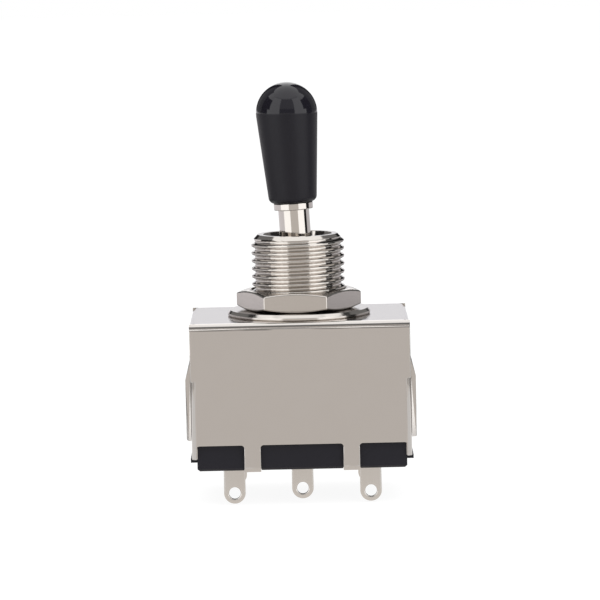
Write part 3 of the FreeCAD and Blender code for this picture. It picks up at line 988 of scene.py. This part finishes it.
@dataclass
class SolderLugs:
    """Six stamped lugs, each a blade with an eye under a pad inside the case."""

    sheet: float = 0.5
    soft: float = 0.18
    cells: int = 24

    def build(self) -> None:
        """Makes all six lugs with one finish."""
        finish = LUG_TIN.material()
        for mount in frame["record"]["mounts"]:
            if mount["name"].startswith("eye_"):
                node = "terminal_" + mount["name"].removeprefix("eye_")
                lug = self.build_lug(node, np.array(mount["pos_m"]) / MM, mount["dims"]["r_mm"])
                settle(lug, [node], finish)

    def outline(self, half: float, height: float) -> Array:
        """A blade's outline about its eye: half round below, straight sides and a square top.

        Args:
            half: Half of the blade's width.
            height: The eye's middle to the blade's top.

        Returns:
            Points of n by 2, starting and ending beside the top's right corner.
        """
        arc = np.linspace(0, -math.pi, 2 * self.cells + 1)
        lower = half * on_circle(arc)
        rise = np.linspace(0, 1, self.cells + 1)[1:, None]
        left = [-half, 0] + rise * [0, height]
        across = np.linspace(0, 1, 9)[1:, None]
        upper = [-half, height] + across * [2 * half, 0]
        right = [half, height] - rise[:-1] * [0, height]
        return np.vstack([lower, left, upper, right])

    def build_lug(self, node: str, eye: Array, eye_radius: float) -> bpy.types.Object:
        """Makes one lug as a ring from its eye out to its outline, and its pad as a box.

        Args:
            node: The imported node.
            eye: The eye's middle in millimetres.
            eye_radius: The eye's radius in millimetres.

        Returns:
            The linked object.
        """
        box = Box.of(node)
        half = eye[2] - box.low[2]
        height = box.high[2] - eye[2]
        reference = self.outline(half, height)
        circle = on_circle(np.arctan2(reference[:, 1], reference[:, 0]))
        quarter = np.linspace(0, math.pi / 2, 6)
        thick = self.sheet / 2

        def rows(edge: Callable[[float], Array]) -> list[Array]:
            """Rows over the thickness at one edge, rounded at both faces."""
            insets = [self.soft + FLAT_EDGE, *(self.soft * (1 - np.sin(quarter)))]
            depths = [thick, *(thick - self.soft * (1 - np.cos(quarter)))]
            found = []
            for side in (1, -1):
                for inset, depth in list(zip(insets, depths))[::side]:
                    uv = edge(inset)
                    y = np.full((len(uv), 1), side * depth)
                    found.append(np.hstack([uv[:, :1], y, uv[:, 1:]]))
            return found

        outer = rows(lambda inset: self.outline(half - inset, height - inset))
        inner = rows(lambda inset: circle * (eye_radius + inset))
        ring = np.stack(outer + inner[::-1]) + eye
        pad = self.block(np.array([*box.low[:2], box.high[2] - self.sheet]), box.high)
        return make_piece(f"{node}_stamped", [Surface(ring, True, True), pad], 40.0)

    def block(self, low: Array, high: Array) -> Surface:
        """A box as one tube, closed by rows that shrink to the middle of its ends."""
        x, y = (low[0], high[0], high[0], low[0]), (low[1], low[1], high[1], high[1])
        corners, middle = np.stack([x, y], axis=-1), (low + high)[:2] / 2
        rows = [(middle, low[2]), (corners, low[2]), (corners, high[2]), (middle, high[2])]
        return Surface(np.stack([np.insert(0 * corners + xy, 2, z, axis=1) for xy, z in rows]))


@dataclass
class InnerWorks:
    """What lies inside the case, left as packed with its own finishes."""

    nodes: tuple[tuple[Plate | Moulding, str], ...] = (
        (BASE_BLACK, "guide_plate"),
        (BRIGHT_NICKEL, "ball_retainer"),
        (SLIDER_WHITE, "slider"),
        (SPRING_BRONZE, "contact_clip_front contact_clip_rear"),
        (BALL_STEEL, "detent_ball_front detent_ball_rear detent_spring_front detent_spring_rear"),
    )

    def build(self) -> None:
        """Gives each node its finish."""
        for finish, nodes in self.nodes:
            material = finish.material()
            for node in nodes.split():
                slots = frame["nodes"][node].data.materials
                slots.clear()
                slots.append(material)
                log.info("%s is left as packed, in %s", node, finish.name)


# Studio and camera


@dataclass(frozen=True)
class Card:
    """A patch of a large ball round the object that only its reflections show.

    It spans azimuths from the camera's side, positive to the right, and elevations, in degrees.
    The radius is in metres. Where the ball would pass under the floor, the patch lies on it.
    """

    name: str
    azimuths: Pair
    elevations: Pair
    level: float
    colour: Triple = WHITE
    radius: float = 0.2
    rows: int = 33
    columns: int = 49

    def build(self, floor: float) -> None:
        """Makes the card from points R (cos e sin a, -cos e cos a, sin e).

        Args:
            floor: Height of the floor. A point's distance R shrinks to floor / sin e under it.
        """
        azimuth = np.radians(np.linspace(*self.azimuths, self.columns))[None, :]
        rise = np.radians(np.linspace(*self.elevations, self.rows))[:, None]
        down = np.minimum(np.sin(rise), -1e-6)
        reach = np.where(self.radius * np.sin(rise) < floor, floor / down, self.radius)
        out, up = reach * np.cos(rise), reach * np.sin(rise)
        x, y = out * np.sin(azimuth), -out * np.cos(azimuth)
        points = np.stack([x, y, up + 0 * azimuth], axis=-1) / MM
        card = make_piece(self.name, [Surface(points, False, False)])
        material, graph = new_material(self.name)
        glow = graph.node("Emission", {0: rgba(self.colour), 1: self.level})
        graph.node("OutputMaterial", {"Surface": glow})
        card.data.materials.append(material)
        card.visible_camera = card.visible_diffuse = card.visible_shadow = False


def both(name: str, azimuths: Pair, *rest: Any) -> tuple[Card, Card]:
    """A card on the right, after its mirror image on the left."""
    low, high = azimuths
    return Card(f"left_{name}", (-high, -low), *rest), Card(f"right_{name}", azimuths, *rest)


CARDS = (
    Card("near_table", (-180, 180), (-88, -45), 1.1, WARM_GREY),
    Card("front_table", (-24, 24), (-45, -6.7), 1.0, WARM_GREY),
    Card("left_front_table", (-79, -24), (-45, -16), 0.85),
    Card("right_front_table", (24, 80), (-45, -16), 0.85),
    Card("left_front_far_table", (-79, -48), (-16, -6.7), 1.0, WARM_GREY),
    Card("right_front_far_table", (48, 80), (-16, -6.7), 1.0, WARM_GREY),
    *both("edge_light", (40, 48), (-16, -6.7), 1.7),
    *both("near_far_table", (24, 40), (-16, -6.7), 1.0, WARM_GREY),
    Card("left_table", (-180, -79), (-45, -16), 0.95),
    Card("right_table", (80, 180), (-45, -16), 0.95),
    *both("far_table", (96, 180), (-16, -6.7), 0.15),
    *both("side_table", (84, 96), (-16, -6.7), 0.7),
    Card("left_corner_table", (-84, -79), (-16, -6.7), 0.15),
    Card("right_corner_table", (80, 84), (-16, -6.7), 0.15),
    Card("front_grey", (-27, 30), (-6.7, 8), 1.0, WARM_GREY),
    Card("shade_over_the_camera", (-27, 30), (8, 23), 0.2),
    Card("front_drape", (-27, 30), (23, 57), 0.5),
    Card("left_softbox", (-79, -27), (-6.7, 18), 1.6),
    Card("left_high_softbox", (-68, -27), (18, 57), 1.6),
    Card("right_softbox", (30, 80), (-6.7, 18), 1.6),
    Card("right_high_softbox", (30, 68), (18, 57), 1.6),
    Card("left_wall", (-168, -79), (-6.7, 6.5), 0.89, LILAC_GREY),
    Card("right_flag", (80, 104), (-6.7, 6.5), 0.02),
    Card("right_wall", (104, 168), (-6.7, 6.5), 0.7, LILAC_GREY),
    *both("high_flag", (151, 168), (6.5, 60), 0.02),
    *both("high_screen", (110, 151), (6.5, 60), 0.2),
    Card("left_low_flag", (-110, -79), (6.5, 46), 0.03),
    Card("right_low_flag", (80, 110), (6.5, 46), 0.03),
    Card("left_flag_corner", (-79, -68), (18, 46), 0.02),
    Card("right_flag_corner", (68, 80), (18, 46), 0.02),
    *both("hoop_light", (68, 110), (46, 60), 1.35),
    *both("far_back", (168, 180), (-6.7, 12), 0.88, COOL_WHITE),
    *both("back_light", (168, 180), (12, 60), 1.6),
    Card("overhead_softbox", (-180, 180), (60, 90), 1.35),
)


@dataclass(frozen=True)
class Lamp:
    """An area lamp that faces the object and that no reflection shows, in metres and watts."""

    name: str
    place: Triple
    size: float
    watts: float

    def build(self) -> None:
        """Makes the lamp."""
        lamp = bpy.data.lights.new(self.name, "AREA")
        lamp.size = self.size
        lamp.energy = self.watts
        holder = bpy.data.objects.new(self.name, lamp)
        holder.location = self.place
        holder.rotation_euler = (-Vector(self.place)).to_track_quat("-Z", "Y").to_euler()
        holder.visible_camera = holder.visible_glossy = False
        bpy.context.scene.collection.objects.link(holder)


@dataclass
class Studio:
    """A pale floor and soft light, with the grey, white and black that the metal reflects.

    The first three lengths are in metres. matte is the floor's grey as the object's light meets it,
    and faint and glow make up the white that the eye and the mirrors meet.
    """

    floor_gap: float = 0.0002
    card_gap: float = 0.0001
    floor_half: float = 2.0
    fill: float = 0.9
    matte: float = 0.85
    faint: float = 0.12
    glow: float = 0.92
    lamps: tuple[Lamp, ...] = (
        Lamp("overhead lamp", (0.0, -0.15, 0.6), 0.7, 3.0),
        Lamp("front lamp", (0.35, -0.6, 0.35), 0.5, 1.5),
    )

    def build(self) -> None:
        """Sets the stage."""
        foot = float(size_at_load[0][2])
        for card in CARDS:
            card.build(foot - self.card_gap)
        self.build_floor(foot - self.floor_gap)
        self.build_world()
        for lamp in self.lamps:
            lamp.build()

    def seen(self, graph: Graph) -> Sock:
        """One for the rays that should meet plain white: camera, mirror and clear ones."""
        node = graph.node("LightPath").socket.node
        kinds = ("Camera", "Glossy", "Transmission")
        camera, glossy, clear = (Sock(graph, node.outputs[f"Is {kind} Ray"]) for kind in kinds)
        return camera.most(glossy).most(clear)

    def build_floor(self, low: float) -> None:
        """A wide sheet just under the lugs, white to the eye, that still takes a shadow."""
        edge = [-self.floor_half, self.floor_half]
        x, y = np.meshgrid(edge, edge)
        points = np.stack([x, y, 0 * x + low], axis=-1) / MM
        floor = make_piece("floor", [Surface(points, False, False)])
        material, graph = new_material("white floor")
        matte = graph.node("BsdfDiffuse", {0: rgba(WHITE, self.matte)})
        faint = graph.node("BsdfDiffuse", {0: rgba(WHITE, self.faint)})
        glow = graph.node("Emission", {0: rgba(WHITE), 1: self.glow})
        white = graph.node("AddShader", {0: faint, 1: glow})
        mixed = graph.node("MixShader", {0: self.seen(graph), 1: matte, 2: white})
        graph.node("OutputMaterial", {"Surface": mixed})
        floor.data.materials.append(material)

    def build_world(self) -> None:
        """White to the eye and to reflections, and a little less as a light."""
        bpy.context.scene.world = world = bpy.data.worlds.new("studio")
        world.use_nodes = True
        graph = Graph(world.node_tree)
        fill = graph.node("Background", {0: rgba(WHITE), 1: self.fill})
        white = graph.node("Background", {0: rgba(WHITE), 1: 1.0})
        mixed = graph.node("MixShader", {0: self.seen(graph), 1: fill, 2: white})
        graph.node("OutputWorld", {"Surface": mixed})


@dataclass
class PhotoCamera:
    """The photograph's own view, fitted to the outline of the case, thread and lugs.

    The lengths are in millimetres and the angles in degrees, but clip is in metres.
    """

    aim: Triple = (0.15, 0.0, 1.753)
    distance: float = 504.6
    elevation: float = 5.98
    roll: float = -1.25
    lens: float = 234.4
    sensor: float = 36.0
    clip: Pair = (0.01, 10.0)

    def build(self) -> None:
        """Places the camera in front, rolled a little so that the right side stands higher."""
        e, r = math.radians(self.elevation), math.radians(self.roll)
        back = Vector((0, -math.cos(e), math.sin(e)))
        right = Vector((1, 0, 0))
        up = back.cross(right)
        across = right * math.cos(r) + up * math.sin(r)
        upward = up * math.cos(r) - right * math.sin(r)
        camera = bpy.data.cameras.new("photo camera")
        camera.lens = self.lens
        camera.sensor_width = self.sensor
        camera.clip_start, camera.clip_end = self.clip
        holder = bpy.data.objects.new("photo camera", camera)
        turn = Matrix((across, upward, back)).transposed().to_4x4()
        place = (Vector(self.aim) + back * self.distance) * MM
        holder.matrix_world = Matrix.Translation(place) @ turn
        bpy.context.scene.collection.objects.link(holder)
        bpy.context.scene.camera = holder


def main() -> None:
    """Builds every piece, then the studio and the camera."""
    logging.basicConfig(level=logging.INFO, format="%(message)s")
    ThreadedBushing().build()
    PanelHardware().build()
    BatLever().build()
    Housing().build()
    SolderLugs().build()
    InnerWorks().build()
    Studio().build()
    PhotoCamera().build()
    bpy.context.scene.view_settings.view_transform = "Standard"


if __name__ == "__main__":
    main()
